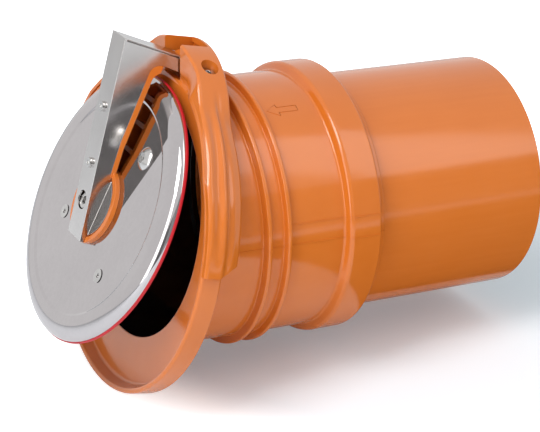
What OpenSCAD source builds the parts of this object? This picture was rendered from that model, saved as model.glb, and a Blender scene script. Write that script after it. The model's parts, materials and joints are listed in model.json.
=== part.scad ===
/* [Pipe] */
// Outside diameter of the inlet pipe
pipe_od = 160; // [125:1:200]
// Wall of the inlet pipe
pipe_wall = 4; // [3:0.5:6]
// Length of pipe that stands out of the socket
pipe_len = 126; // [60:1:500]
// Depth of the pipe inside the socket
pipe_insert = 58; // [45:1:62]

/* [Socket] */
// Wall of the socket barrel
socket_wall = 6; // [5:0.5:9]
// Length of the plain collar at the mouth
collar_len = 5; // [3:0.5:10]
// Length of the bead that holds the rubber ring
bead_w = 22; // [18:0.5:30]
// Height of the bead above the barrel
bead_rise = 5.4; // [4:0.1:8]
// Distance from the bead to the rear stiffening ring
barrel_len = 44; // [40:0.5:60]
// Distance between the two stiffening rings
ring_pitch = 14; // [10:0.5:24]
// Height of the stiffening rings
ring_rise = 4.7; // [2:0.1:8]
// Distance from the front ring to the middle of the seat
neck_len = 47; // [44:0.5:70]

/* [Outlet] */
// Lean of the seat from upright
seat_tilt = 10; // [6:0.2:16]
// Height of the seat opening above the pipe axis
seat_rise = 2.8; // [0:0.1:4]
// Drop of the lip's centre below the seat opening
lip_drop = 9.3; // [6:0.1:11]
// Room between the pan and the lip at the sides
lip_clear = 13.4; // [11:0.1:20]
// Thickness of the lip wall at its foot
lip_wall = 5.4; // [4.4:0.1:7]
// Depth of the lip in front of the seat
lip_depth = 9; // [6:0.1:12]
// Depth of the lip where it is lowered under the arm
saddle_depth = 4.4; // [3:0.1:5]
// Thickness of the flange behind the seat
flange_t = 5.2; // [4:0.1:8]

/* [Hinge] */
// Height of the hinge above the edge of the pan
hinge_rise = 15.3; // [14:0.1:20]
// Distance of the hinge behind the flap's rim
hinge_back = 11.5; // [10.5:0.1:14]
// Radius of the hinge pin
pin_r = 3.5; // [2.5:0.1:4]
// Length of pin held in each cheek
pin_grip = 10; // [7:0.5:13]
// Thickness of the washers between the arm and the cheeks
washer_t = 1.1; // [0.8:0.1:2]
// Angle by which the flap stands open
open_angle = 14.8; // [0:0.2:60]

/* [Yoke] */
// Thickness of the wings over the lip
wing_t = 4; // [2:0.1:6]
// Depth of the yoke behind the lip
yoke_back = 15.4; // [15:0.2:26]
// Height of the hump above the hinge axis
hump_h = 16; // [10:0.2:18]
// Radius of the hump
hump_r = 60; // [52:1:75]
// Height of the wing ends above the lip's centre
wing_end = 9; // [0:0.5:30]
// Angle of the yoke screws either side of upright
yoke_screw_angle = 14.6; // [14:0.2:18]

/* [Flap] */
// Width of the pan's rim outside the seat opening
flap_overlap = 9.3; // [7:0.1:11]
// Sheet thickness of the pan and the arm
sheet_t = 1.5; // [1:0.1:2]
// Height of the pan's face above its rim
face_h = 5; // [4.5:0.1:7]
// Width of the pan's step and rim around its flat middle
rim_band = 17.5; // [15:0.5:24]
// Thickness of the red seal
seal_t = 2; // [1.5:0.1:3]
// Room between the backing plate and the seat opening
backing_clear = 5.2; // [3:0.1:10]

/* [Arm] */
// Width of the arm
arm_w = 20; // [17:0.5:21]
// Lean of the arm's web to the pan
web_angle = 12.4; // [10:0.2:14]
// Reach of the arm below the flap's centre
arm_drop = 24.4; // [22:0.2:30]
// Height of the web above the rim plane at its lower end
web_low = 11; // [10.5:0.1:13]
// Outer radius of the cup under the arm's foot
cup_r = 26.4; // [25:0.2:32]
// Width of the core's rim below the channel
core_rim = 4; // [3:0.1:5]

/* [Hidden] */
$fn = 96;
eps = 0.01;
far = 400;

// Clearances
slip = 0.2;
running = 0.06;
seal_gap = 0.3;

// Colours
orange = [0.84, 0.46, 0.24];
steel = [0.72, 0.71, 0.71];
red = [0.85, 0.1, 0.14];
black = [0.08, 0.08, 0.08];
grey = [0.35, 0.35, 0.36];

// Pipe and socket along the axis, measured from where the pipe's tapered end begins
mouth_gap = 1;
spigot_taper = 1;
pipe_r = pipe_od / 2;
spigot_r = pipe_r - spigot_taper;
socket_r = pipe_r + slip;
barrel_r = socket_r + socket_wall;
bead_r = barrel_r + bead_rise;
mouth_x = -mouth_gap;
bead_x0 = mouth_x - collar_len;
bead_x1 = bead_x0 - bead_w;
bead_round = 2;
shoulder = 2.2;
ring_w = 3;
ring2_x = bead_x1 - barrel_len;
ring1_x = ring2_x - ring_pitch;
stop_x = -pipe_insert;
stop_w = 4;
bore_r = pipe_r - pipe_wall;
stop_r = bore_r + 1;
neck_wall = 5;
seat_r = socket_r;
neck_over = 40;
seat_x = ring1_x - neck_len;
groove_side = 5;
groove_w = bead_w - 2 * groove_side;
groove_d = bead_rise;
groove_x = (bead_x0 + bead_x1) / 2 - groove_w / 2;

// Lip, in the plane of the seat
flap_r = seat_r + flap_overlap;
lip_in_r = flap_r + lip_clear;
lip_r = lip_in_r + lip_wall;
lip_round = 1.4;
lip_draft = 1.8;
saddle_half = 38;

// Hinge, measured from the lip's centre in the plane of the seat
flap_low = 2.4;
hinge_h = flap_r + hinge_rise;
slot_w = arm_w + 2 * washer_t + 4 * slip;
hinge_up = hinge_h - flap_low + lip_drop;
hinge_out = seal_t + seal_gap - hinge_back;
knuckle_wall = 2;
bush_r = pin_r + running + 1.5;
knuckle_r = bush_r + knuckle_wall;
notch_up = hinge_up - knuckle_r + 0.5;
pin_half = slot_w / 2 + pin_grip;

// Yoke, from the lip's centre
wing_r = lip_r + slip + wing_t;
rear_r = lip_r - 2.4;
hook_r = lip_r - 8.4;
hump_top = hinge_up + hump_h;
yoke_rear = -flange_t - yoke_back;
yoke_front = lip_depth + slip;
front_lean = 9.5;
front_lean_drop = 45;
front_lean_up = lip_r - front_lean_drop;
rear_lean = 2.7;
wall_front = hinge_out - knuckle_r - 1;
screw_out = -flange_t - 5.3;
boss_r = 6;
rest_h = 18;
boss_top = hook_r + 1;
screw_r = 2.5;
screw_bite = 10;
screw_tip = boss_top - screw_bite;
screw_seat = hinge_up + 3;
screw_head_r = 5;
screw_head_h = 4.5;
sink_r = screw_head_r + 0.8;

// Flap stack, out from the rim plane
flat_r = flap_r - rim_band;
backing_r = seat_r - backing_clear;
face_in = face_h - sheet_t;
step_d = 0.8;
step_w = 3;
rim_w = 8.5;
rim_r = (rim_w * rim_w + pow(face_h - step_d, 2)) / (2 * (face_h - step_d));
seal_r = flap_r + 0.7;
seal_grip = 13;
seal_in_r = backing_r - seal_grip;
backing_t = 2;
back_out = -seal_t - backing_t;

// Arm, in flap coordinates: up from the centre, out from the rim plane
beam_lo = hinge_h - 5.4;
beam_hi = hinge_h + 4.4;
web_top = beam_hi - 2;
steel_end = knuckle_r - hinge_back + 0.5;
flank_end = 4 - hinge_back;
window_lo = cup_r - 5.2;
window_hi = beam_lo - 0.2;
window_mid = 45;
window_out_lo = face_h + 4.9;
window_out_mid = face_h + 8;
window_out_hi = face_h + 9.6;
window_round = 7;
cup_floor = 1.2;
cup_h = 3.4;
cup_wall = 3.6;
foot_gap = 1.5;
foot_r = cup_r - cup_wall - foot_gap;
bar_half = arm_w / 2 - sheet_t - slip;
bar_start = 15;
slit = 0.8;

// Fasteners of the flap
pivot_r = 4;
pivot_head_r = 5.2;
pivot_head_h = 5.4;
pivot_boss = 1.8;
washer_h = 1.2;
web_hole_r = 6;
nut_h = 6;
cover_screw_up = [61, 24.4];
cover_screw_r = 1.75;
cover_head_r = 3.3;
cover_head_h = 1.8;
cover_screw_len = 9;
clamp_in = 35;
clamp_turn = 36;
clamp_at = (flap_r - clamp_in) * [cos(clamp_turn), -sin(clamp_turn)];
clamp_r = 3;
clamp_nut_r = 5.8;
clamp_washer_r = 7;
clamp_head_r = 7.6;
clamp_head_h = 3.4;
dimple_in = [48.8, 38];
dimple_turn = [117.8, 226.7];
dimple_at = [for (i = [0, 1]) (flap_r - dimple_in[i]) * [cos(dimple_turn[i]), sin(dimple_turn[i])]];
dimple_r = 2.5;
dimple_head_r = 4.6;
dimple_nut_r = 4.8;
dimple_washer_r = 6;
small_nut_h = 4;
thread_end = 1;

function web_out(up) = web_low + (up + arm_drop) * tan(web_angle);

// Frames: X up and Z out in the plane of the seat, the lip and the flap
module at_lip() {
    translate([seat_x, 0, seat_rise])
        rotate([0, seat_tilt - 90, 0])
            translate([-lip_drop, 0, 0])
                children();
}

module at_hinge() {
    at_lip()
        translate([hinge_up, 0, hinge_out])
            children();
}

module at_flap() {
    at_hinge()
        rotate([0, open_angle, 0])
            translate([-hinge_h, 0, hinge_back])
                children();
}

// Shapes that repeat
module revolve_x() {
    rotate([0, 90, 0])
        rotate_extrude($fn = 180)
            children();
}

module round_rect(w, h, r) {
    translate([r, 0])
        square([w - 2 * r, h]);
    translate([0, r])
        square([w, h - 2 * r]);
    for (x = [r, w - r], y = [r, h - r])
        translate([x, y])
            circle(r);
}

module ring(r_out, r_in, h) {
    difference() {
        cylinder(r = r_out, h = h);
        translate([0, 0, -1])
            cylinder(r = r_in, h = h + 2);
    }
}

module side_extrude(w) {
    rotate([90, 0, 0])
        translate([0, 0, -w / 2])
            linear_extrude(w)
                children();
}

module along_y(r, half) {
    rotate([90, 0, 0])
        translate([0, 0, -half])
            cylinder(r = r, h = 2 * half);
}

module both_sides() {
    children();
    mirror([0, 1, 0])
        children();
}

module hex_nut(r, h, hole_r) {
    difference() {
        cylinder(r = r, h = h, $fn = 6);
        translate([0, 0, -1])
            cylinder(r = hole_r, h = h + 2);
    }
}

// Half section of the socket, barrel, rings and neck
module stiffening_ring(x) {
    flank = 0.6;
    polygon([[barrel_r - 1, x - ring_w / 2 - flank], [barrel_r + ring_rise, x - ring_w / 2],
        [barrel_r + ring_rise, x + ring_w / 2], [barrel_r - 1, x + ring_w / 2 + flank]]);
}

module body_section() {
    difference() {
        union() {
            translate([socket_r, ring1_x])
                square([socket_wall, mouth_x - ring1_x]);
            translate([socket_r + 1, bead_x1])
                round_rect(bead_r - socket_r - 1, bead_w, bead_round);
            polygon([[barrel_r - 1, bead_x1 - shoulder], [barrel_r, bead_x1 - shoulder],
                [bead_r - bead_round, bead_x1 + bead_round], [barrel_r - 1, bead_x1 + bead_round]]);
            stiffening_ring(ring2_x);
            stiffening_ring(ring1_x);
            translate([stop_r, stop_x - stop_w - slip])
                square([socket_r - stop_r + 1, stop_w]);
            translate([seat_r, seat_x - neck_over])
                square([neck_wall, ring1_x - seat_x + neck_over + 1]);
        }
        translate([socket_r - 1, groove_x])
            square([groove_d + 1, groove_w]);
    }
}

// Disc of the lip with rounded edges, before the seat is sunk into it
module lip_disc() {
    depth = flange_t + lip_depth;
    rotate_extrude($fn = 180)
        translate([0, -flange_t]) {
            square([lip_r - lip_round, depth]);
            translate([0, lip_round])
                square([lip_r, depth - 2 * lip_round]);
            for (out = [lip_round, depth - lip_round])
                translate([lip_r - lip_round, out])
                    circle(lip_round);
        }
}

// Inside of the lip: a drafted wall with a broken edge
module lip_recess() {
    edge_r = lip_in_r + lip_draft;
    cylinder(r1 = lip_in_r, r2 = edge_r, h = lip_depth, $fn = 180);
    cylinder(r = lip_in_r, h = far, $fn = 180);
    translate([0, 0, lip_depth - lip_round])
        cylinder(r1 = edge_r - lip_round, r2 = edge_r + lip_round, h = 2 * lip_round, $fn = 180);
}

module yoke_screw_axis() {
    both_sides()
        rotate([0, 0, yoke_screw_angle])
            translate([0, 0, screw_out])
                rotate([0, 90, 0])
                    children();
}

// Rests under the hinge pin and bosses for the yoke screws, on the neck behind the lip
module hinge_rests() {
    rest_half = pin_r - slip;
    rest_low = hook_r - rest_h;
    both_sides()
        translate([rest_low, slot_w / 2 + slip, hinge_out - rest_half])
            cube([hinge_up - pin_r - rest_low - running, pin_grip - 2 * slip, 2 * rest_half]);
    yoke_screw_axis()
        translate([0, 0, rest_low])
            cylinder(r = boss_r, h = boss_top - rest_low);
}

module screw_holes() {
    yoke_screw_axis()
        translate([0, 0, screw_tip - 1])
            cylinder(r = screw_r + running, h = far);
}

// Socket, barrel and neck up to the back of the flange
module valve_body() {
    color(orange)
        difference() {
            union() {
                revolve_x()
                    body_section();
                at_lip()
                    hinge_rests();
            }
            translate([seat_x - neck_over, 0, 0])
                rotate([0, 90, 0])
                    cylinder(r = seat_r, h = ring1_x - seat_x + neck_over, $fn = 180);
            at_lip() {
                translate([-far / 2, -far / 2, -flange_t])
                    cube([far, far, far]);
                screw_holes();
            }
        }
}

// Flange that the neck runs into, with the seat and the lip in front of it
module seat_flange() {
    color(orange)
        at_lip()
            difference() {
                lip_disc();
                lip_recess();
                translate([lip_drop, 0, -flange_t - 1])
                    cylinder(r = seat_r, h = far, $fn = 180);
                translate([0, -saddle_half, saddle_depth])
                    cube([far, 2 * saddle_half, far]);
                translate([notch_up, -slot_w / 2, -flange_t - 1])
                    cube([far, slot_w, far]);
                screw_holes();
            }
}

// Outer form of the saddle: wings over the lip, a hook behind it and the hump at the top
module yoke_form() {
    translate([0, 0, -flange_t - slip])
        cylinder(r = wing_r, h = flange_t + slip + yoke_front, $fn = 180);
    translate([0, 0, yoke_rear])
        cylinder(r = rear_r, h = yoke_back, $fn = 180);
    translate([hump_top - hump_r, 0, yoke_rear])
        cylinder(r = hump_r, h = yoke_front - yoke_rear, $fn = 180);
}

// Groove across both cheeks for the hinge pin, open below
module pin_groove() {
    groove_half = pin_half + slip;
    translate([hinge_up, 0, hinge_out])
        along_y(pin_r + running, groove_half);
    translate([hook_r - wing_t, -groove_half, hinge_out - pin_r - running])
        cube([hinge_up - hook_r + wing_t, 2 * groove_half, 2 * (pin_r + running)]);
}

module hinge_yoke() {
    color(orange)
        at_lip()
            difference() {
                yoke_form();
                translate([0, 0, -flange_t - slip])
                    cylinder(r = lip_r + slip, h = far, $fn = 180);
                translate([0, 0, -far])
                    cylinder(r = hook_r, h = 2 * far, $fn = 180);
                translate([wing_end - far, -far / 2, -far / 2])
                    cube([far, far, far]);
                translate([front_lean_up, -far / 2, yoke_front])
                    rotate([0, front_lean, 0])
                        cube([far, far, far]);
                translate([hump_top, -far / 2, yoke_rear])
                    rotate([0, rear_lean, 0])
                        translate([-far, 0, -far])
                            cube([2 * far, far, far]);
                translate([hook_r - wing_t, -slot_w / 2, wall_front])
                    cube([far, slot_w, far]);
                pin_groove();
                yoke_screw_axis() {
                    cylinder(r = boss_r + slip, h = boss_top);
                    cylinder(r = screw_r + slip, h = far);
                    translate([0, 0, screw_seat])
                        cylinder(r = sink_r, h = far);
                }
            }
}

module yoke_screws() {
    drive_r = 2;
    color(steel)
        at_lip()
            yoke_screw_axis()
                difference() {
                    union() {
                        translate([0, 0, screw_tip])
                            cylinder(r = screw_r, h = screw_seat - screw_tip + eps);
                        translate([0, 0, screw_seat])
                            cylinder(r = screw_head_r, h = screw_head_h);
                    }
                    translate([0, 0, screw_seat + screw_head_h / 2])
                        cylinder(r = drive_r, h = screw_head_h, $fn = 6);
                }
}

module hinge_pin() {
    color(steel)
        at_hinge()
            along_y(pin_r, pin_half);
}

module thrust_washers() {
    color(grey)
        at_hinge()
            both_sides()
                translate([0, slot_w / 2 - slip / 2, 0])
                    rotate([90, 0, 0])
                        ring(bush_r, pin_r + running, washer_t);
}

module socket_seal() {
    lip_h = groove_w / 4;
    base_r = socket_r + 1;
    color(black)
        revolve_x() {
            translate([base_r, groove_x + slip])
                square([socket_r + groove_d - base_r - slip / 4, groove_w - 2 * slip]);
            for (x = [groove_x + slip, groove_x + groove_w - lip_h - slip])
                translate([pipe_r, x])
                    square([base_r - pipe_r + 1, lip_h]);
        }
}

module inlet_pipe() {
    color(orange)
        revolve_x()
            polygon([[bore_r, stop_x], [spigot_r, stop_x], [pipe_r, 0], [pipe_r, pipe_len],
                [bore_r, pipe_len]]);
}

// Pressed pan: flat middle, a shallow step and a rolled rim
module pan_section() {
    rim_x = flap_r - rim_w;
    rim_y = face_h - step_d - rim_r;
    turns = 10;
    function rim_arc(r) = [for (i = [0 : turns])
        let (a = acos(-rim_y / r) * i / turns) [rim_x + r * sin(a), rim_y + r * cos(a)]];
    outside = concat([[0, face_h], [flat_r, face_h], [flat_r + step_w, face_h - step_d]], rim_arc(rim_r));
    inside = concat([[0, face_in], [flat_r, face_in], [flat_r + step_w, face_in - step_d]],
        rim_arc(rim_r - sheet_t));
    polygon(concat(outside, [for (i = [len(inside) - 1 : -1 : 0]) inside[i]]));
}

module flap_holes(slack) {
    translate([0, 0, -far / 2]) {
        cylinder(r = pivot_r + slack, h = far);
        translate(clamp_at)
            cylinder(r = clamp_r + slack, h = far);
        for (at = dimple_at)
            translate(at)
                cylinder(r = dimple_r + slack, h = far);
    }
}

module flap_plate() {
    color(steel)
        at_flap()
            difference() {
                rotate_extrude($fn = 180)
                    pan_section();
                flap_holes(slip);
                for (at = dimple_at)
                    translate([at[0], at[1], face_h - sheet_t / 2])
                        cylinder(r1 = dimple_r + slip, r2 = dimple_head_r + 1, h = sheet_t / 2 + eps);
            }
}

module stiffener_disc() {
    rim_in = flap_r - rim_w - 1;
    color(grey)
        at_flap()
            difference() {
                union() {
                    cylinder(r = rim_in, h = face_in - step_d - slip / 2);
                    cylinder(r = flat_r - 1, h = face_in);
                    translate([0, 0, -seal_t])
                        cylinder(r = seal_in_r - slip, h = seal_t + 1);
                }
                flap_holes(slip);
            }
}

module flap_seal() {
    color(red)
        at_flap()
            translate([0, 0, -seal_t])
                ring(seal_r, seal_in_r, seal_t);
}

module backing_plate() {
    chamfer = 0.8;
    color(steel)
        at_flap()
            difference() {
                union() {
                    translate([0, 0, back_out + chamfer])
                        cylinder(r = backing_r, h = backing_t - chamfer);
                    translate([0, 0, back_out])
                        cylinder(r1 = backing_r - chamfer, r2 = backing_r, h = chamfer + eps);
                }
                flap_holes(slip);
            }
}

// Side view of the arm: the window below the flank and the beam over the pan's rim
module arm_window() {
    corner = [window_hi - window_round, window_out_hi - window_round];
    difference() {
        polygon([[window_lo, -far / 4], [window_lo, window_out_lo], [window_mid, window_out_mid],
            [window_hi - window_round, window_out_hi], [window_hi, window_out_hi],
            [window_hi, -far / 4]]);
        difference() {
            translate(corner)
                square(window_round + 1);
            translate(corner)
                circle(window_round);
        }
    }
}

module arm_outline(inset, end_out) {
    web_in = inset / cos(web_angle);
    polygon([[-arm_drop, face_h + cup_floor], [-arm_drop, web_low - web_in],
        [web_top - inset, web_out(web_top - inset) - web_in], [beam_hi - inset, end_out],
        [beam_lo, end_out], [beam_lo, face_h + cup_floor]]);
}

module web_hole() {
    cylinder(r = web_hole_r, h = far);
}

module on_web(up) {
    translate([up, 0, web_out(up)])
        rotate([0, -web_angle, 0])
            children();
}

module arm_cover() {
    color(steel)
        at_flap() {
            difference() {
                side_extrude(arm_w)
                    difference() {
                        arm_outline(0, flank_end);
                        arm_window();
                    }
                side_extrude(arm_w - 2 * sheet_t) {
                    translate([-eps, 0])
                        arm_outline(sheet_t, flank_end - 1);
                    translate([beam_lo, flank_end - 1])
                        square([far, steel_end - flank_end + 1]);
                }
                translate([hinge_h, 0, -hinge_back])
                    along_y(bush_r + slip, arm_w);
                side_extrude(arm_w - 2 * sheet_t)
                    polygon([[-arm_drop - 1, 0], [-arm_drop - 1, web_low - sheet_t / cos(web_angle)],
                        [0, web_out(0) - sheet_t / cos(web_angle)], [0, 0]]);
                both_sides()
                    translate([beam_hi - sheet_t - slit, arm_w / 2 - sheet_t - eps, -far / 2])
                        rotate([0, -3, 0])
                            cube([slit, sheet_t + 1, far / 2]);
                web_hole();
                for (up = cover_screw_up)
                    on_web(up)
                        translate([0, 0, -sheet_t - 1])
                            cylinder(r = cover_screw_r + slip, h = far);
            }
            both_sides()
                difference() {
                    translate([0, 0, face_h + cup_floor])
                        cylinder(r = foot_r, h = sheet_t);
                    translate([-far / 2, -far + arm_w / 2 - eps, 0])
                        cube([far, far, far]);
                }
        }
}

// Core of the arm: bar inside the channel, rim along its edge, limb with knuckle, and cup
module arm_core() {
    pocket_n = 4;
    pocket_pitch = (window_hi - window_round - window_lo) / pocket_n;
    pocket_rib = 3;
    pocket_half = bar_half - 2;
    color(orange)
        at_flap()
            difference() {
                union() {
                    side_extrude(2 * bar_half)
                        difference() {
                            intersection() {
                                arm_outline(sheet_t + slip, -hinge_back);
                                translate([bar_start, -far / 2])
                                    square([far, far]);
                            }
                            arm_window();
                        }
                    side_extrude(arm_w)
                        intersection() {
                            difference() {
                                arm_window();
                                translate([-core_rim, -core_rim])
                                    arm_window();
                            }
                            translate([window_lo, face_h + 2])
                                square([far, far]);
                        }
                    translate([hinge_h, 0, -hinge_back])
                        along_y(knuckle_r, bar_half);
                    difference() {
                        translate([0, 0, face_h])
                            cylinder(r = cup_r, h = cup_h);
                        translate([0, 0, face_h + cup_floor])
                            cylinder(r = cup_r - cup_wall, h = far);
                        translate([window_lo - far, -arm_w / 2 - slip, face_h + cup_floor])
                            cube([far, arm_w + 2 * slip, far]);
                    }
                    translate([0, 0, face_h])
                        cylinder(r = bar_half, h = cup_floor + pivot_boss);
                }
                for (i = [0 : pocket_n - 1])
                    translate([window_lo + i * pocket_pitch + pocket_rib, -pocket_half, 0])
                        cube([pocket_pitch - pocket_rib, 2 * pocket_half, window_out_hi + 3]);
                translate([hinge_h, 0, -hinge_back])
                    along_y(bush_r, arm_w);
                cylinder(r = pivot_r + slip, h = far);
                for (up = cover_screw_up)
                    on_web(up)
                        translate([0, 0, -cover_screw_len - 1])
                            cylinder(r = cover_screw_r + running, h = far);
            }
}

module hinge_bush() {
    color(grey)
        at_hinge()
            difference() {
                along_y(bush_r - running, arm_w / 2);
                along_y(pin_r + running, arm_w);
            }
}

module cover_screws() {
    color(steel)
        at_flap()
            for (up = cover_screw_up)
                on_web(up) {
                    translate([0, 0, -cover_screw_len])
                        cylinder(r = cover_screw_r, h = cover_screw_len + eps);
                    difference() {
                        cylinder(r = cover_head_r, h = cover_head_h);
                        translate([0, 0, cover_head_h / 2])
                            cylinder(r = cover_screw_r, h = cover_head_h, $fn = 6);
                    }
                }
}

module pivot_bolt() {
    head_at = face_h + cup_floor + pivot_boss + washer_h;
    drive_r = 3;
    thread_over = 3.2;
    tip = back_out - nut_h - thread_over;
    color(steel)
        at_flap()
            difference() {
                union() {
                    translate([0, 0, tip])
                        cylinder(r = pivot_r, h = head_at - tip + eps);
                    translate([0, 0, head_at])
                        cylinder(r = pivot_head_r, h = pivot_head_h);
                }
                translate([0, 0, head_at + pivot_head_h / 2])
                    cylinder(r = drive_r, h = far, $fn = 6);
            }
}

module pivot_washer() {
    color(steel)
        at_flap()
            translate([0, 0, face_h + cup_floor + pivot_boss])
                ring(bar_half - slip, pivot_r + slip, washer_h);
}

module pivot_nut() {
    flange_r = pivot_r + 5;
    flange_h = 1;
    hex_r = pivot_r + 3.2;
    color(steel)
        at_flap()
            translate([0, 0, back_out - nut_h]) {
                hex_nut(hex_r, nut_h - flange_h, pivot_r + running);
                translate([0, 0, nut_h - flange_h - eps])
                    ring(flange_r, pivot_r + running, flange_h + eps);
            }
}

module clamp_screw() {
    dome_r = 11;
    drive_r = 2.2;
    tip = back_out - washer_h - small_nut_h - thread_end;
    color(steel)
        at_flap()
            translate([clamp_at[0], clamp_at[1], 0])
                difference() {
                    union() {
                        translate([0, 0, tip])
                            cylinder(r = clamp_r, h = face_h - tip + eps);
                        translate([0, 0, face_h])
                            intersection() {
                                cylinder(r = clamp_head_r, h = clamp_head_h);
                                translate([0, 0, clamp_head_h - dome_r])
                                    sphere(r = dome_r);
                            }
                    }
                    translate([0, 0, face_h + clamp_head_h / 3])
                        cylinder(r = drive_r, h = far, $fn = 6);
                }
}

module dimple_screws() {
    drive_r = 1.6;
    drive_d = 1.2;
    tip = back_out - washer_h - small_nut_h - thread_end;
    color(steel)
        at_flap()
            for (at = dimple_at)
                translate([at[0], at[1], 0])
                    difference() {
                        union() {
                            translate([0, 0, tip])
                                cylinder(r = dimple_r, h = face_in - tip);
                            translate([0, 0, face_h - sheet_t / 2])
                                cylinder(r1 = dimple_r, r2 = dimple_head_r, h = sheet_t / 2);
                            translate([0, 0, face_in - 1])
                                cylinder(r = dimple_r, h = sheet_t / 2 + 1 + eps);
                        }
                        translate([0, 0, face_h - drive_d])
                            cylinder(r = drive_r, h = far, $fn = 6);
                    }
}

module clamp_washers() {
    color(steel)
        at_flap() {
            translate([clamp_at[0], clamp_at[1], back_out - washer_h])
                ring(clamp_washer_r, clamp_r + slip, washer_h);
            for (at = dimple_at)
                translate([at[0], at[1], back_out - washer_h])
                    ring(dimple_washer_r, dimple_r + slip, washer_h);
        }
}

module clamp_nuts() {
    nut_out = back_out - washer_h - small_nut_h;
    color(steel)
        at_flap() {
            translate([clamp_at[0], clamp_at[1], nut_out])
                hex_nut(clamp_nut_r, small_nut_h, clamp_r + running);
            for (at = dimple_at)
                translate([at[0], at[1], nut_out])
                    hex_nut(dimple_nut_r, small_nut_h, dimple_r + running);
        }
}

valve_body();
seat_flange();
hinge_yoke();
yoke_screws();
hinge_pin();
thrust_washers();
socket_seal();
inlet_pipe();
flap_plate();
stiffener_disc();
flap_seal();
backing_plate();
arm_cover();
arm_core();
hinge_bush();
cover_screws();
pivot_bolt();
pivot_washer();
pivot_nut();
clamp_screw();
dimple_screws();
clamp_washers();
clamp_nuts();
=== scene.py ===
import json
from math import atan2, copysign, cos, hypot, pi, radians, sin, sqrt, tan

import bmesh
import bpy
from mathutils import Matrix, Vector


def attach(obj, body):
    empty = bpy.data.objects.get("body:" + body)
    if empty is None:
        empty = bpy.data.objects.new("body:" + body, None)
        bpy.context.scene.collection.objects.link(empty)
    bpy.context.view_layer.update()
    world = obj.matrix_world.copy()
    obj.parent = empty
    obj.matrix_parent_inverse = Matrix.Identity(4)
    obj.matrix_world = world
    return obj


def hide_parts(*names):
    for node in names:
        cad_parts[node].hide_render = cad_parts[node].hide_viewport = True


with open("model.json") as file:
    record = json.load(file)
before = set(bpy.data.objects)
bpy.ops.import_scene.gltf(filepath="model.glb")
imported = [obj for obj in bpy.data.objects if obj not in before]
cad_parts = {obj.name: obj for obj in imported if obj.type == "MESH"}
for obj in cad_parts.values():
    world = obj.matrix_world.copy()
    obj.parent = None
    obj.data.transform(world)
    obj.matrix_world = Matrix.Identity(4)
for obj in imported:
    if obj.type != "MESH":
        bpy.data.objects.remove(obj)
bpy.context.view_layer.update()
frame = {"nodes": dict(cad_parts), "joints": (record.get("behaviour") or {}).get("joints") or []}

# Inlet pipe: a length of extruded orange PVC sewer pipe, smooth outside and in.
# Its hidden end tapers a little and is pushed into the socket as far as the stop.
# Sizes here and below are in millimetres, and place() turns them into metres.
pipe_r = 80
pipe_wall = 4
spigot_taper = 1
pipe_len = 126
pipe_insert = 58
millimetres = Matrix.Scale(0.001, 4)
along_pipe = Matrix.Rotation(radians(90), 4, "Y") @ millimetres


def outline(points, closed=True):
    """Wire through (across, along, rounding) points, with each corner rounded by its own radius."""
    wire = bmesh.new()
    corners = [wire.verts.new((across, 0, along)) for across, along, _ in points]
    for a, b in zip(corners, corners[1:] + corners[: 1 if closed else 0]):
        wire.edges.new((a, b))
    for radius in sorted({rounding for _, _, rounding in points if rounding}):
        bmesh.ops.bevel(
            wire,
            geom=[c for c, p in zip(corners, points) if p[2] == radius],
            offset=radius,
            offset_type="OFFSET",
            segments=5,
            profile=0.5,
            affect="VERTICES",
            material=-1,
        )
    return wire


def turned(points, centre=(0, 0, 0), steps=192, closed=True):
    """Shape turned about the local Z axis through centre."""
    shape = outline(points, closed)
    bmesh.ops.translate(shape, verts=shape.verts[:], vec=centre)
    bmesh.ops.spin(
        shape,
        geom=shape.verts[:] + shape.edges[:],
        cent=centre,
        axis=(0, 0, 1),
        angle=2 * pi,
        steps=steps,
        use_merge=True,
    )
    bmesh.ops.remove_doubles(shape, verts=shape.verts[:], dist=1e-5)
    bmesh.ops.recalc_face_normals(shape, faces=shape.faces[:])
    return shape


def place(shape, name, where, body, nodes, material, crease=32):
    """Puts a finished shape in the frame as a piece that stands for CAD nodes; flat faces stay flat."""
    bmesh.ops.transform(shape, matrix=where, verts=shape.verts[:])
    mesh = bpy.data.meshes.new(name)
    shape.to_mesh(mesh)
    shape.free()
    mesh.shade_smooth()
    mesh.set_sharp_from_angle(angle=radians(crease))
    mesh.materials.append(material)
    made = bpy.data.objects.new(name, mesh)
    bpy.context.scene.collection.objects.link(made)
    normals = made.modifiers.new("normals", "WEIGHTED_NORMAL")
    normals.mode = "FACE_AREA"
    normals.keep_sharp = True
    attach(made, body)
    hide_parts(*nodes)


class Value:
    """A value in a material: sums on it add Math nodes, and node() adds any other node."""

    def __init__(self, tree, socket=None):
        self.tree = tree
        self.socket = socket

    def node(self, kind, settings, sockets, output=0):
        made = self.tree.nodes.new("ShaderNode" + kind)
        for name, setting in settings.items():
            if name == "stops":
                while len(made.color_ramp.elements) < len(setting):
                    made.color_ramp.elements.new(1)
                for stop, (position, colour) in zip(made.color_ramp.elements, setting):
                    stop.position = position
                    stop.color = (*colour, 1)
            else:
                setattr(made, name, setting)
        for name, value in sockets.items():
            if isinstance(value, Value):
                self.tree.links.new(value.socket, made.inputs[name])
            else:
                made.inputs[name].default_value = value
        return Value(self.tree, made.outputs[output])

    def math(self, operation, a, b):
        return self.node("Math", {"operation": operation}, {0: a, 1: b})

    def __add__(self, other):
        return self.math("ADD", self, other)

    def __sub__(self, other):
        return self.math("SUBTRACT", self, other)

    def __mul__(self, other):
        return self.math("MULTIPLY", self, other)

    def __rsub__(self, other):
        return self.math("SUBTRACT", other, self)

    __radd__ = __add__
    __rmul__ = __mul__


def finish(name, constants):
    """New material with its shader's plain numbers set: returns it, its nodes and its shader."""
    material = bpy.data.materials.new(name)
    material.use_nodes = True
    shader = material.node_tree.nodes["Principled BSDF"]
    for socket, value in constants.items():
        shader.inputs[socket].default_value = value
    return material, Value(material.node_tree), shader


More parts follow.
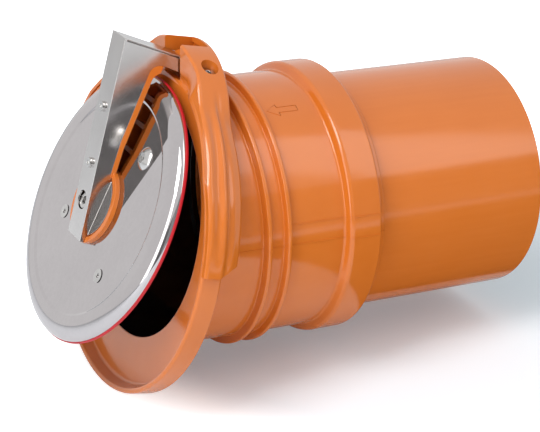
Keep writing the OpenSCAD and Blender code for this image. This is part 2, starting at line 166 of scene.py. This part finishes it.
def feed(value, shader, socket):
    value.tree.links.new(value.socket, shader.inputs[socket])


def noise(nodes, vector, scale, detail=2.0, roughness=0.5):
    """Cloudy pattern whose features are about 1/scale of a metre across."""
    return nodes.node(
        "TexNoise", {}, {"Vector": vector, "Scale": scale, "Detail": detail, "Roughness": roughness}
    )


def pvc(name, deep, light, gloss, stretch):
    """Orange PVC: soft clouds in colour and gloss, a faint grain and, along stretch, flow lines."""
    material, nodes, shader = finish(name, {"IOR": 1.53})
    object_space = nodes.node("TexCoord", {}, {}, "Object")
    stretched = nodes.node("Mapping", {}, {"Vector": object_space, "Scale": stretch})
    clouds = noise(nodes, object_space, 14, 3.0)
    streaks = noise(nodes, stretched, 60, 3.0)
    grain = noise(nodes, object_space, 1400, 2.0)
    blend = clouds * 0.6 + streaks * 0.4
    colour = nodes.node("ValToRGB", {"stops": [(0.3, deep), (0.7, light)]}, {"Fac": blend})
    feed(colour, shader, "Base Color")
    feed(gloss + 0.1 * (clouds - 0.5) + 0.06 * (streaks - 0.5), shader, "Roughness")
    relief = grain * 0.5 + streaks * 0.5
    bump = nodes.node("Bump", {}, {"Strength": 0.05, "Distance": 0.0002, "Height": relief})
    feed(bump, shader, "Normal")
    return material


pipe_orange = pvc("pipe_pvc_extruded", (0.60, 0.152, 0.018), (0.64, 0.170, 0.024), 0.15, (0.3, 5, 5))
end_round = 0.7
pipe = turned([
    (pipe_r - pipe_wall, -pipe_insert, end_round),
    (pipe_r - spigot_taper, -pipe_insert, end_round),
    (pipe_r, 0, 0),
    (pipe_r, pipe_len, end_round),
    (pipe_r - pipe_wall, pipe_len, end_round),
])
place(pipe, "sewer_pipe", along_pipe, "body", ["inlet_pipe"], pipe_orange)

# Rubber ring of the socket: a black lipped ring that lies in the groove under the bead
# and wipes the pipe. It keeps the CAD shape, and only its finish is made here.
rubber, rubber_nodes, rubber_shader = finish("ring_rubber", {"IOR": 1.5})
rubber_space = rubber_nodes.node("TexCoord", {}, {}, "Object")
rubber_dust = noise(rubber_nodes, rubber_space, 180, 3.0)
rubber_colour = rubber_nodes.node(
    "ValToRGB", {"stops": [(0.3, (0.012, 0.012, 0.013)), (0.8, (0.03, 0.03, 0.032))]}, {"Fac": rubber_dust}
)
feed(rubber_colour, rubber_shader, "Base Color")
feed(0.55 + 0.25 * rubber_dust, rubber_shader, "Roughness")
frame["nodes"]["socket_seal"].data.materials[0] = rubber

# Valve body: one injection moulding in orange PVC, with the socket and its bead, two stiffening
# rings, the neck, and the leaning seat flange with its deep lip. Fine parting lines run along it,
# an arrow on the barrel shows the flow, and the bore behind the seat gets painted black shade.
socket_r = 80.2
barrel_r = 86.2
bead_r = 91.6
ring_r = 90.9
neck_r = 85.2
mouth_x = -1
bead_from, bead_to, bead_slope = -6, -28, 2.6
groove_from, groove_to, groove_r = -11, -23, 85.6
stop_from, stop_to, stop_r = -58.2, -62.2, 77
ring_places = (-72, -86)
ring_half = 1.5
ring_foot = 2.1
lip_r = 108.3
lip_in_r = 102.9
lip_draft = 1.8
lip_depth = 9
flange_t = 5.2
lip_drop = 9.3
seat_tilt = radians(10)
hinge = Vector(frame["joints"][0]["pos_m"])
hinge_up, hinge_out = 111.7, -9.2
lip_frame = (
    Matrix.Translation(hinge)
    @ Matrix.Rotation(seat_tilt - radians(90), 4, "Y")
    @ millimetres
    @ Matrix.Translation((-hinge_up, 0, -hinge_out))
)
body_orange = pvc("body_pvc_moulded", (0.58, 0.145, 0.016), (0.62, 0.162, 0.022), 0.12, (1, 1, 1))


def paint_bore_shade(material, wall, set_back):
    """Paints black shade, mottled by noise, into a material inside the bore and behind the plane of the
    seat.
    """
    nodes = Value(material.node_tree)
    shader = material.node_tree.nodes["Principled BSDF"]
    moulded = Value(material.node_tree, shader.inputs["Base Color"].links[0].from_socket)
    object_space = nodes.node("TexCoord", {}, {}, "Object")
    across = nodes.node("VectorMath", {"operation": "MULTIPLY"}, {0: object_space, 1: (0, 1, 1)})
    reach = nodes.node("VectorMath", {"operation": "LENGTH"}, {0: across}, "Value")
    seat_out = lip_frame.to_3x3().normalized() @ Vector((0, 0, 1))
    out = nodes.node("VectorMath", {"operation": "DOT_PRODUCT"}, {0: object_space, 1: seat_out}, "Value")
    seat_edge = seat_out.dot(lip_frame @ Vector((0, 0, -set_back)))
    inside = nodes.math("LESS_THAN", reach, (neck_r - wall) / 1000)
    inside = inside * nodes.math("LESS_THAN", out, seat_edge)
    # The noise only mottles the painted black shade.
    shade_mottle = noise(nodes, object_space, 90, 3.0)
    black = nodes.node(
        "ValToRGB", {"stops": [(0.3, (0.006, 0.005, 0.005)), (0.8, (0.016, 0.012, 0.011))]}, {"Fac": shade_mottle}
    )
    colour = nodes.node("MixRGB", {}, {"Fac": inside, "Color1": moulded, "Color2": black})
    feed(colour, shader, "Base Color")


# Painted shade: the bore is coloured black inside and behind the seat, where it lies in shadow.
paint_bore_shade(body_orange, wall=2.5, set_back=0.5)
rings = []
for ring_x, after in zip(ring_places, (barrel_r, neck_r)):
    rings += [
        (barrel_r, ring_x + ring_foot, 0.6),
        (ring_r, ring_x + ring_half, 1.1),
        (ring_r, ring_x - ring_half, 1.1),
        (after, ring_x - ring_foot, 0.6),
    ]
neck_end = -175
outside = [
    (barrel_r, mouth_x, 0.8),
    (barrel_r, bead_from, 0.5),
    (bead_r, bead_from, 1.8),
    (bead_r, bead_to, 2.2),
    (barrel_r, bead_to - bead_slope, 1.2),
    *rings,
    (neck_r, neck_end, 0),
]
body = turned([
    (socket_r, mouth_x, 0.6),
    *outside,
    (socket_r, neck_end, 0),
    (socket_r, stop_to, 0),
    (stop_r, stop_to, 0.4),
    (stop_r, stop_from, 0.4),
    (socket_r, stop_from, 0),
    (socket_r, groove_to, 0),
    (groove_r, groove_to, 0.5),
    (groove_r, groove_from, 0.5),
    (socket_r, groove_from, 0),
])
bmesh.ops.transform(body, matrix=along_pipe, verts=body.verts[:])
cut = bmesh.ops.bisect_plane(
    body,
    geom=body.verts[:] + body.edges[:] + body.faces[:],
    plane_co=lip_frame @ Vector((0, 0, -flange_t / 2)),
    plane_no=lip_frame.to_3x3() @ Vector((0, 0, 1)),
    clear_outer=True,
)
bmesh.ops.bridge_loops(body, edges=[e for e in cut["geom_cut"] if isinstance(e, bmesh.types.BMEdge)])


def add(shape, part, where):
    """Moves a part into a shape."""
    bmesh.ops.transform(part, matrix=where, verts=part.verts[:])
    mesh = bpy.data.meshes.new("part")
    part.to_mesh(mesh)
    part.free()
    shape.from_mesh(mesh)
    bpy.data.meshes.remove(mesh)


flange_steps = 192
rim_in = lip_in_r - 3
opening_out = socket_r + 1.5
flange = turned(
    [
        (rim_in, 0, 0),
        (lip_in_r, 0, 1.6),
        (lip_in_r + lip_draft, lip_depth, 1.4),
        (lip_r, lip_depth, 1.9),
        (lip_r, -flange_t, 1.4),
        (rim_in, -flange_t, 0),
    ],
    steps=flange_steps,
    closed=False,
)
opening = turned(
    [(opening_out, 0, 0), (socket_r, 0, 0.8), (socket_r, -flange_t, 0.8), (opening_out, -flange_t, 0)],
    centre=(lip_drop, 0, 0),
    steps=flange_steps,
    closed=False,
)
add(flange, opening, Matrix())
for face_out in (0, -flange_t):
    bmesh.ops.bridge_loops(
        flange,
        edges=[
            e for e in flange.edges
            if e.is_boundary and all(abs(v.co.z - face_out) < 0.01 for v in e.verts)
        ],
    )
bmesh.ops.recalc_face_normals(flange, faces=flange.faces[:])


def ease(low, high, x):
    """Smooth step from 0 at low to 1 at high."""
    t = min(1, max(0, (x - low) / (high - low)))
    return t * t * (3 - 2 * t)


yoke_front = 9.2
front_lean, front_lean_up = tan(radians(9.5)), 63.3
cheek_lean, cheek_out = 0.2136, -0.4
cheek_from, cheek_full = radians(22), radians(11)
fit_gap = 0.2


def yoke_face(up, turn):
    """How far out of the seat the yoke's front face stands at a height up and a turn from its middle."""
    cheek = ease(cheek_from, cheek_full, turn)
    wing_face = yoke_front - front_lean * max(0, up - front_lean_up)
    return (1 - cheek) * wing_face + cheek * (cheek_out + cheek_lean * (up - hinge_up))


for vert in flange.verts:
    if vert.co.x > 0 and vert.co.z > 0:
        behind_yoke = yoke_face(vert.co.x, abs(atan2(vert.co.y, vert.co.x))) - fit_gap
        vert.co.z *= min(1, behind_yoke / lip_depth)


def carved(shape, cutters):
    """Takes cutters away from a shape with an exact Boolean, and returns the new shape."""
    solids = []
    for part in (shape, cutters):
        mesh = bpy.data.meshes.new("carving")
        part.to_mesh(mesh)
        part.free()
        solids.append(bpy.data.objects.new("carving", mesh))
        bpy.context.scene.collection.objects.link(solids[-1])
    cut = solids[0].modifiers.new("cut", "BOOLEAN")
    cut.solver = "EXACT"
    cut.use_self = True
    cut.object = solids[1]
    evaluated = solids[0].evaluated_get(bpy.context.evaluated_depsgraph_get())
    result = bmesh.new()
    result.from_mesh(evaluated.to_mesh())
    for solid in solids:
        mesh = solid.data
        bpy.data.objects.remove(solid)
        bpy.data.meshes.remove(mesh)
    bmesh.ops.remove_doubles(result, verts=result.verts[:], dist=1e-3)
    return result


def block(tools, low, high):
    """Adds a box between two opposite corners."""
    middle = (Vector(low) + Vector(high)) / 2
    size = [abs(b - a) for a, b in zip(low, high)]
    bmesh.ops.create_cube(tools, size=1, matrix=Matrix.LocRotScale(middle, None, size))


slot_half = 11.5
notch_up = 103.4
overcut = 10
notch = bmesh.new()
block(notch, (notch_up, -slot_half, -flange_t - overcut), (lip_r + overcut, slot_half, lip_depth + overcut))
add(body, carved(flange, notch), lip_frame)

screw_turn = radians(14.6)
screw_out = -10.5
boss_r = 6
rest_low, boss_top = 81.9, 100.9
rest_width = 9.6
pin_r, pin_gap = 3.5, 0.06
rests = bmesh.new()
for side in (-1, 1):
    bmesh.ops.create_cone(
        rests, cap_ends=True, segments=48, radius1=boss_r, radius2=boss_r, depth=boss_top - rest_low,
        matrix=Matrix.Rotation(side * screw_turn, 4, "Z")
        @ Matrix.Translation(((boss_top + rest_low) / 2, 0, screw_out))
        @ Matrix.Rotation(radians(90), 4, "Y"),
    )
    block(
        rests,
        (rest_low, side * (slot_half + fit_gap), hinge_out - pin_r + fit_gap),
        (hinge_up - pin_r - pin_gap, side * (slot_half + fit_gap + rest_width), hinge_out + pin_r - fit_gap),
    )
add(body, rests, lip_frame)

seam_rise, seam_sink = 0.35, 1
seam_width = radians(0.4)
for seam_at, seam_skin in ((radians(3.5), outside), (radians(12.2), outside[1:6])):
    skin_in = [(across - seam_sink, along, 0) for across, along, _ in reversed(seam_skin)]
    skin_out = [(across + seam_rise, along, rounding) for across, along, rounding in seam_skin]
    seam = outline(skin_out + skin_in)
    seam_face = bmesh.ops.contextual_create(seam, geom=seam.edges[:])["faces"]
    bmesh.ops.spin(seam, geom=seam_face, cent=(0, 0, 0), axis=(0, 0, 1), angle=seam_width, steps=2)
    bmesh.ops.recalc_face_normals(seam, faces=seam.faces[:])
    seam_where = along_pipe @ Matrix.Rotation(radians(-90) - seam_at, 4, "Z")
    bmesh.ops.transform(seam, matrix=seam_where, verts=seam.verts[:])
    bmesh.ops.bisect_plane(
        seam,
        geom=seam.verts[:] + seam.edges[:] + seam.faces[:],
        plane_co=lip_frame @ Vector((0, 0, -flange_t)),
        plane_no=lip_frame.to_3x3() @ Vector((0, 0, 1)),
        clear_outer=True,
    )
    add(body, seam, Matrix())

arrow_at = radians(64)
arrow_tip, arrow_neck, arrow_tail = -65.6, -57.8, -44
arrow_half, shaft_half = 5.1, 2.3
arrow_line, arrow_rise, arrow_sink = 0.7, 0.25, 1
arrow = bmesh.new()
arrow_face = arrow.faces.new([arrow.verts.new((along, across, 0)) for along, across in (
    (arrow_tip, 0), (arrow_neck, -arrow_half), (arrow_neck, -shaft_half), (arrow_tail, -shaft_half),
    (arrow_tail, shaft_half), (arrow_neck, shaft_half), (arrow_neck, arrow_half),
)])
bmesh.ops.inset_region(
    arrow, faces=[arrow_face], thickness=arrow_line, use_boundary=True, use_even_offset=True
)
bmesh.ops.delete(arrow, geom=[arrow_face], context="FACES_ONLY")
raised = bmesh.ops.extrude_face_region(arrow, geom=arrow.faces[:], use_keep_orig=True)["geom"]
for vert in (v for v in raised if isinstance(v, bmesh.types.BMVert)):
    vert.co.z = arrow_sink + arrow_rise
bmesh.ops.recalc_face_normals(arrow, faces=arrow.faces[:])
for vert in arrow.verts:
    radius, turn = barrel_r - arrow_sink + vert.co.z, arrow_at + vert.co.y / barrel_r
    vert.co = (vert.co.x, -radius * cos(turn), radius * sin(turn))
add(body, arrow, millimetres)
place(body, "valve_body_moulding", Matrix(), "body", ["valve_body", "seat_flange"], body_orange)

# Hinge yoke: a second orange moulding that saddles the lip, with two fluted wings, a hump over
# the hinge, a slot for the arm and two counterbored screw holes. It clips behind the lip.
# Its section is swept over the lip, and each share of it from front (0) to rear (1) is then shaped.
wing_end = radians(85.2)
wing_trim = radians(3.4)
wing_steps = 150
wing_in_r = lip_r + fit_gap
wing_t = 4
hook_r = 99.9
yoke_rear = -20.6
rear_lean = tan(radians(2.7))
hump_top, hump_r = 127.7, 60
hump_from, hump_full = radians(30), radians(18)
hump_blend = 6
flute_from, flute_full = radians(24), radians(40)
flute_end, flute_fade = radians(84), radians(66)
flute_deep, ridge_high = 1.3, 1.2
wing_step, flute_step, wing_fall = 2.2, 1.6, 2.2
edge_round = 1.2
section = outline([
    (wing_in_r, yoke_front, 0),
    (wing_in_r + wing_t, yoke_front, 0),
    (wing_in_r + wing_t, yoke_rear, 0),
    (hook_r, yoke_rear, 0),
    (hook_r, -flange_t - fit_gap, 0),
    (wing_in_r, -flange_t - fit_gap, 0),
])
skin = [e for e in section.edges if all(v.co.x > wing_in_r + 1 for v in e.verts)]
bmesh.ops.subdivide_edges(section, edges=skin, cuts=30)
bmesh.ops.rotate(section, verts=section.verts[:], cent=(0, 0, 0), matrix=Matrix.Rotation(-wing_end, 3, "Z"))
start = bmesh.ops.contextual_create(section, geom=section.edges[:])["faces"]
bmesh.ops.spin(section, geom=start, cent=(0, 0, 0), axis=(0, 0, 1), angle=2 * wing_end, steps=wing_steps)
bmesh.ops.recalc_face_normals(section, faces=section.faces[:])
for vert in section.verts:
    radius, turn = hypot(vert.co.x, vert.co.y), abs(atan2(vert.co.y, vert.co.x))
    share = (yoke_front - vert.co.z) / (yoke_front - yoke_rear)
    hump = ease(hump_from, hump_full, turn)
    flute = ease(flute_from, flute_full, turn) * ease(flute_end, flute_fade, turn)
    outer = radius > wing_in_r + 1
    if outer:
        rise = wing_t - flute * (flute_deep * ease(0.1, 0.28, share) - ridge_high * ease(0.3, 0.42, share))
        rise -= (1 - hump) * (wing_step + flute_step * flute) * ease(0.45, 0.62, share)
        rise -= (1 - hump) * wing_fall * ease(0.7, 1, share)
        hump_mid = hump_top - hump_r
        over = hump_mid * cos(turn) + sqrt(max(0, hump_r**2 - (hump_mid * sin(turn)) ** 2))
        apart = over - wing_in_r - rise
        radius = wing_in_r + rise + max(0, apart) + max(0, hump_blend - abs(apart)) ** 2 / (4 * hump_blend)
        radius -= edge_round * (ease(0.06, 0, share) + ease(0.95, 1, share))
    up = radius * cos(turn)
    front = yoke_face(up, turn)
    rear = yoke_rear + rear_lean * (hump_top - up)
    out = vert.co.z
    if outer or not 0.001 < share < 0.999:
        out = front + (rear - front) * share
    trim = wing_trim * ease(0.45, 1, share) * ease(wing_end - radians(12), wing_end, turn)
    heading = copysign(turn - trim, vert.co.y)
    vert.co = (radius * cos(heading), radius * sin(heading), out)

wall_front = -17.26
pocket_low, pocket_top, pocket_back = 111, 123.8, -19
screw_seat = 114.7
sink_r, sink_deep = 5.8, 20
tools = bmesh.new()
block(
    tools,
    (hook_r - overcut, -slot_half, wall_front),
    (hump_top + overcut, slot_half, yoke_front + overcut),
)
block(tools, (pocket_low, -slot_half, pocket_back), (pocket_top, slot_half, wall_front + 1))
for side in (-1, 1):
    bmesh.ops.create_cone(
        tools, cap_ends=True, segments=48, radius1=sink_r, radius2=sink_r, depth=sink_deep,
        matrix=Matrix.Rotation(side * screw_turn, 4, "Z")
        @ Matrix.Translation((screw_seat + sink_deep / 2, 0, screw_out))
        @ Matrix.Rotation(radians(90), 4, "Y"),
    )
yoke = carved(section, tools)
place(yoke, "saddle_yoke", lip_frame, "body", ["hinge_yoke"], body_orange, crease=40)

# Yoke screws, hinge pin and washers: two steel cap screws hold the yoke down, and a plain steel
# pin carries the arm between two grey plastic washers. Edges are broken as a turning shop leaves them.


def dressed(node, name, body, material, edge=0.25, clamp=True, cutters=None):
    """Copy of a CAD node with its triangles merged and its sharp edges rounded."""
    shape = bmesh.new()
    shape.from_mesh(frame["nodes"][node].data)
    bmesh.ops.transform(shape, matrix=millimetres.inverted(), verts=shape.verts[:])
    bmesh.ops.remove_doubles(shape, verts=shape.verts[:], dist=1e-3)
    if cutters:
        shape = carved(shape, cutters)
    bmesh.ops.dissolve_limit(
        shape, angle_limit=radians(0.5), verts=shape.verts[:], edges=shape.edges[:],
        use_dissolve_boundaries=False,
    )
    sharp = [e for e in shape.edges if e.is_manifold and e.calc_face_angle() > radians(28)]
    bmesh.ops.bevel(
        shape, geom=sharp, offset=edge, offset_type="OFFSET", segments=2, profile=0.5,
        affect="EDGES", clamp_overlap=clamp, material=-1,
    )
    place(shape, name, millimetres, body, [node], material)


def steel(name, dark, bright, gloss, stretch, depth):
    """Stainless steel: fine brush lines along the shortest stretch, with slow clouds in its gloss."""
    material, nodes, shader = finish(name, {"Metallic": 1.0})
    object_space = nodes.node("TexCoord", {}, {}, "Object")
    stretched = nodes.node("Mapping", {}, {"Vector": object_space, "Scale": stretch})
    clouds = noise(nodes, object_space, 35, 4.0)
    brush = noise(nodes, stretched, 300, 4.0, 0.6)
    blend = 0.5 * clouds + 0.5 * brush
    colour = nodes.node("ValToRGB", {"stops": [(0.3, dark), (0.7, bright)]}, {"Fac": blend})
    feed(colour, shader, "Base Color")
    feed(gloss + 0.5 * gloss * (clouds - 0.5) + 0.6 * gloss * (brush - 0.5), shader, "Roughness")
    bump = nodes.node("Bump", {}, {"Strength": depth, "Distance": 0.0002, "Height": brush})
    feed(bump, shader, "Normal")
    return material


fastener_steel = steel(
    "fastener_bright_steel", (0.46, 0.45, 0.44), (0.62, 0.61, 0.60), 0.14, (1, 1, 1), 0.05
)
grey_plastic = pvc("washer_grey_plastic", (0.05, 0.05, 0.055), (0.08, 0.08, 0.085), 0.4, (1, 1, 1))
dressed("yoke_screws", "yoke_cap_screws", "body", fastener_steel)
dressed("hinge_pin", "hinge_pin_steel", "body", fastener_steel)
dressed("thrust_washers", "hinge_washers", "body", grey_plastic, 0.1)

# Flap pan: a disc of polished stainless sheet, pressed with a flat middle, a low raised band
# and a rolled rim that holds the edge of the seal.
open_angle = radians(14.8)
hinge_h, hinge_back = 104.8, 11.5
flap_frame = (
    Matrix.Translation(hinge)
    @ Matrix.Rotation(seat_tilt - radians(90) + open_angle, 4, "Y")
    @ millimetres
    @ Matrix.Translation((-hinge_h, 0, hinge_back))
)
flap_r = 89.5
sheet_t = 1.5
face_h = 5
flat_r, band_r = 71.8, 74.2
band_rise = 0.9
band_turns = 8
rim_from = 80
rim_turns = 20


def pressed(inset):
    """Points of the pan's section from its flat middle to its edge, inset below the outer face."""
    spots = [flat_r + (band_r - flat_r) * i / band_turns for i in range(band_turns + 1)]
    band = [(r, face_h - inset + band_rise * ease(flat_r, band_r, r), 0) for r in spots]
    wide, high = flap_r - rim_from - inset, face_h + band_rise - inset
    turns = [pi / 2 * i / rim_turns for i in range(rim_turns + 1)]
    return band + [(rim_from + wide * sin(a), high * cos(a), 0) for a in turns]


polished_steel = steel(
    "pan_polished_steel", (0.46, 0.437, 0.442), (0.50, 0.475, 0.48), 0.035, (1, 1, 1), 0.0005
)
pan = turned(
    [(0, face_h, 0), *pressed(0), *reversed(pressed(sheet_t)), (0, face_h - sheet_t, 0)],
    closed=False,
)
dimple_r, dimple_in_r, dimple_deep = 7, 3, 1.1
dimples = bmesh.new()
for dimple_at in ((-18.98, 36.0), (-35.32, -37.48)):
    bmesh.ops.create_cone(
        dimples, cap_ends=True, segments=64, radius1=dimple_in_r, radius2=dimple_r, depth=dimple_deep,
        matrix=Matrix.Translation((*dimple_at, face_h + 0.01 - dimple_deep / 2)),
    )
place(
    carved(pan, dimples), "flap_pan", flap_frame, "flap", ["flap_plate"],
    polished_steel, crease=60,
)

# Seal, core disc and backing plate: a red elastomer sheet is clamped between a grey plastic disc
# inside the pan and a steel plate behind it.
red_seal = pvc("seal_red_elastomer", (0.46, 0.002, 0.009), (0.54, 0.003, 0.014), 0.55, (1, 1, 1))
brushed_steel = steel(
    "arm_brushed_steel", (0.53, 0.505, 0.49), (0.61, 0.585, 0.57), 0.18, (2, 14, 2), 0.02
)
dressed("flap_seal", "flap_red_seal", "flap", red_seal, 0.5)
dressed("stiffener_disc", "flap_core_disc", "flap", grey_plastic, 0.2)
dressed("backing_plate", "flap_backing_plate", "flap", brushed_steel, 0.2)

# Arm: an orange moulded core with a knuckle and a round cup, covered by a folded stainless channel
# with two round feet that stand in the cup.
dressed("arm_core", "arm_orange_core", "flap", body_orange, 0.35, clamp=False)
arm_half = 10
slit_low, slit_high, slit_lean = 106.7, 107.5, radians(-2.4)
slit_from, slit_mid, slit_to = -2, 20, 38
slit_deep, slit_over = 2, 1
slits = bmesh.new()
for side in (-1, 1):
    block(
        slits,
        (slit_low, side * (arm_half - slit_deep), slit_from),
        (slit_high, side * (arm_half + slit_over), slit_to),
    )
bmesh.ops.rotate(
    slits, verts=slits.verts[:], cent=(slit_low, 0, slit_mid), matrix=Matrix.Rotation(slit_lean, 3, "Y")
)
bmesh.ops.transform(slits, matrix=millimetres.inverted() @ flap_frame, verts=slits.verts[:])
dressed(
    "arm_cover", "arm_steel_cover", "flap", brushed_steel, 0.25,
    clamp=False, cutters=slits,
)
dressed("hinge_bush", "hinge_bush_plastic", "flap", grey_plastic, 0.1)

# Fasteners of the flap: steel screws, bolt, washers and nuts that hold the arm to the pan
# and clamp the seal. The button head of the clamp screw gets a wide hexagon drive.
for node in ("cover_screws", "pivot_bolt", "pivot_washer", "pivot_nut", "dimple_screws", "clamp_washers",
             "clamp_nuts"):
    dressed(node, node + "_steel", "flap", fastener_steel, 0.2)
clamp_at = (44.09, -32.03)
drive_r, drive_deep, clamp_head = 3.7, 2, 3.4
drive = bmesh.new()
bmesh.ops.create_cone(
    drive, cap_ends=True, segments=6, radius1=drive_r, radius2=drive_r, depth=2 * drive_deep,
    matrix=millimetres.inverted() @ flap_frame @ Matrix.Translation((*clamp_at, face_h + clamp_head)),
)
dressed(
    "clamp_screw", "clamp_screw_steel", "flap", fastener_steel, 0.2, cutters=drive
)

# Stage: a pale floor under the lip with a painted glow that lifts and tints its shadow and whitens it
# further out, soft lamps above and in front, and cards that only reflections see: grey and dark ones in
# front, a black one on the floor.
# A black disc closes the open end of the pipe, so that no light shines through the bore.
camera_data = bpy.data.cameras.new("camera")
camera_data.lens = 123.69
camera_data.sensor_width = 36
camera = bpy.data.objects.new("camera", camera_data)
camera.matrix_world = Matrix((
    (0.886168, 0.13387383, -0.44360481, -0.59483),
    (-0.460773, 0.35573041, -0.81310795, -1.01959),
    (0.048950, 0.92495063, 0.37692206, 0.45990),
    (0, 0, 0, 1),
))
bpy.context.scene.collection.objects.link(camera)
bpy.context.scene.camera = camera


def backdrop(shape, name, material):
    """Puts a sheet of the studio in the scene."""
    mesh = bpy.data.meshes.new(name)
    shape.to_mesh(mesh)
    shape.free()
    mesh.materials.append(material)
    made = bpy.data.objects.new(name, mesh)
    bpy.context.scene.collection.objects.link(made)
    return made


floor_up = Vector((-0.0552, 0, 0.9985)).normalized()
floor_drop = 0.1045
shadow_middle = (0.12, 0.04, -0.1)
fade_from, fade_to = 0.22, 0.33
shadow_lift, mirror_lift = 0.15, 0.28
on_floor = (
    Matrix.Translation(floor_up * -floor_drop)
    @ Vector((0, 0, 1)).rotation_difference(floor_up).to_matrix().to_4x4()
)
floor_paint_and_glow = bpy.data.materials.new("floor_paint_and_glow")
floor_paint_and_glow.use_nodes = True
floor_tree = floor_paint_and_glow.node_tree
floor_tree.nodes.remove(floor_tree.nodes["Principled BSDF"])
floor_nodes = Value(floor_tree)
seen = floor_nodes.node("LightPath", {}, {}, "Is Camera Ray")
mirrored = floor_nodes.node("LightPath", {}, {}, "Is Glossy Ray")
matt = floor_nodes.node("BsdfDiffuse", {}, {"Color": (0.86, 0.9, 0.94, 1)})
floor_space = floor_nodes.node("TexCoord", {}, {}, "Object")
from_shadow = floor_nodes.node(
    "VectorMath", {"operation": "SUBTRACT"}, {0: floor_space, 1: shadow_middle}
)
reach = floor_nodes.node("VectorMath", {"operation": "LENGTH"}, {0: from_shadow}, "Value")
away = floor_nodes.node(
    "MapRange",
    {"interpolation_type": "SMOOTHSTEP"},
    {"Value": reach, "From Min": fade_from, "From Max": fade_to},
)
# Painted light: near the object a faint bluish glow for camera rays lifts and tints the floor's shadow. From
# fade_from to fade_to around shadow_middle, a white glow covers the shadow's outer reaches and, more weakly,
# brightens the floor in reflections.
white = shadow_lift * seen + away * (seen + mirror_lift * mirrored)
whitened = floor_nodes.math("MINIMUM", away * 5.0, 1.0)
# Colour of the painted glow: bluish in the shadow near the object, white further out.
shadow_glow_tint = floor_nodes.node(
    "MixRGB", {}, {"Fac": whitened, "Color1": (0.7, 0.9, 1, 1), "Color2": (1, 1, 1, 1)}
)
glow = floor_nodes.node("Emission", {}, {"Color": shadow_glow_tint, "Strength": white})
floor_sum = floor_nodes.node("AddShader", {}, {0: matt, 1: glow})
floor_tree.links.new(floor_sum.socket, floor_tree.nodes["Material Output"].inputs["Surface"])
floor_shape = bmesh.new()
bmesh.ops.create_grid(floor_shape, x_segments=2, y_segments=2, size=4, matrix=on_floor)
backdrop(floor_shape, "floor", floor_paint_and_glow)

matt_card = {"Roughness": 1.0, "Specular IOR Level": 0}
grey_card, _, _ = finish("grey_card", {"Base Color": (0.5, 0.5, 0.5, 1), **matt_card})
dark_card, _, _ = finish("dark_card", {"Base Color": (0.2, 0.2, 0.2, 1), **matt_card})
black_card, _, _ = finish("black_card", {"Base Color": (0.012, 0.012, 0.012, 1), **matt_card})
for card_name, card_low, card_high, card_where, card_paint in (
    ("left_card", (-0.95, -0.9, -0.1), (-0.35, -0.899, 0.5), Matrix(), dark_card),
    ("front_card", (-0.35, -0.9, -0.1), (1.6, -0.899, 0.5), Matrix(), grey_card),
    ("floor_card", (0.012, -0.57, 0.002), (0.7, -0.04, 0.003), on_floor, black_card),
):
    card = bmesh.new()
    block(card, card_low, card_high)
    bmesh.ops.transform(card, matrix=card_where, verts=card.verts[:])
    flag = backdrop(card, card_name, card_paint)
    flag.visible_camera = flag.visible_diffuse = flag.visible_shadow = flag.visible_transmission = False

end_card = bmesh.new()
bmesh.ops.create_circle(
    end_card, cap_ends=True, segments=96, radius=pipe_r - pipe_wall - 1.5,
    matrix=along_pipe @ Matrix.Translation((0, 0, pipe_len + 0.5)),
)
backdrop(end_card, "pipe_end_card", black_card).visible_camera = False

world = bpy.data.worlds.new("studio")
bpy.context.scene.world = world
world.use_nodes = True
world_nodes = Value(world.node_tree)
paths = [world_nodes.node("LightPath", {}, {}, ray) for ray in
         ("Is Camera Ray", "Is Glossy Ray", "Is Transmission Ray")]
shown = world_nodes.math("MINIMUM", paths[0] + paths[1] + paths[2], 1.0)
world_background = world.node_tree.nodes["Background"]
world_background.inputs["Color"].default_value = (1, 1, 1, 1)
ambient = 0.44
feed(ambient + (1 - ambient) * shown, world_background, "Strength")


def softbox(name, where, target, size, power):
    """Soft rectangular lamp at where, turned to target."""
    data = bpy.data.lights.new(name, "AREA")
    data.shape = "RECTANGLE"
    data.size, data.size_y = size
    data.energy = power
    lamp = bpy.data.objects.new(name, data)
    lamp.matrix_world = Matrix.Translation(where) @ (
        (Vector(target) - Vector(where)).to_track_quat("-Z", "Y").to_matrix().to_4x4()
    )
    bpy.context.scene.collection.objects.link(lamp)


softbox("above_left", (-0.75, -0.35, 1.15), (-0.03, 0, 0), (0.6, 0.6), 9)
softbox("front_strip", (0.52, -0.62, 0.92), (0.05, 0, 0), (0.35, 1.1), 2.1)
softbox("front_low", (-0.35, -1.25, 0.2), (-0.03, 0, 0), (0.8, 0.5), 3)
softbox("front_left", (-1.1, -0.55, 0.5), (-0.1, 0, 0), (0.5, 1.4), 6)

bpy.context.scene.view_settings.view_transform = "Standard"
